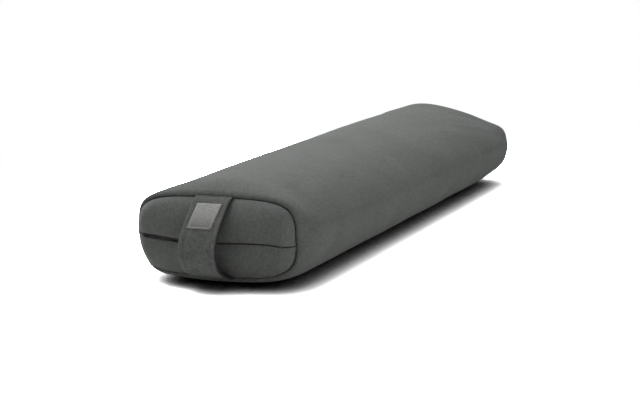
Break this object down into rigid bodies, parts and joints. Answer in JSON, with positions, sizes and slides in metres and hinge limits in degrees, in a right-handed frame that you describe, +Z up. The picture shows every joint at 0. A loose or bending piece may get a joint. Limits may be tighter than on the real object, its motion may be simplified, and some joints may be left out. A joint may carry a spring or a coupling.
{
  "type": "yoga bolster",
  "caption": "Long rectangular yoga bolster in suede-like cloth, with a strap handle and a concealed zip across one end.",
  "frame": {"origin": "middle of the object's footprint, on the surface that it lies on", "axes": "+X across the width, +Y along the length away from the zip and the handle, +Z up"},
  "size_m": [0.216, 0.7379, 0.114],
  "materials": {
    "cover_cloth": "brushed microfibre, matt",
    "handle_cloth": "brushed microfibre over webbing, matt",
    "label_weave": "woven, matt",
    "zip_tape": "woven, matt",
    "zip_teeth": "satin",
    "zip_metal": "satin",
    "liner_cloth": "plain woven, matt",
    "batting": "fluffy, matt",
    "foam": "open cell, matt"
  },
  "bodies": {
    "cushion": {"wrap_panel": "cover_cloth", "front_end_upper": "cover_cloth", "front_end_lower": "cover_cloth", "rear_end_panel": "cover_cloth", "handle_outer_ply": "handle_cloth", "handle_backing_ply": "handle_cloth", "handle_label": "label_weave", "zip_tape_upper": "zip_tape", "zip_tape_lower": "zip_tape", "zip_teeth_upper": "zip_teeth", "zip_teeth_lower": "zip_teeth", "zip_stop_left": "zip_teeth", "zip_stop_right": "zip_teeth", "liner_wrap": "liner_cloth", "liner_front_end": "liner_cloth", "liner_rear_end": "liner_cloth", "batting_wrap": "batting", "batting_front_pad": "batting", "batting_rear_pad": "batting", "foam_core": "foam"},
    "zip_slider": {"zip_slider": "zip_metal"},
    "pull_tab": {"zip_pull_tab": "zip_metal"}
  },
  "joints": [
    {"name": "zip_slide", "type": "slide", "parent": "cushion", "child": "zip_slider", "axis": [1, 0, 0], "range_m": [-0.0495, 0.0895]},
    {"name": "pull_tab_hinge", "type": "hinge", "parent": "zip_slider", "child": "pull_tab", "pos_m": [-0.02, -0.346, 0.051], "axis": [0, 0, 1], "range_deg": [0, 180]}
  ]
}
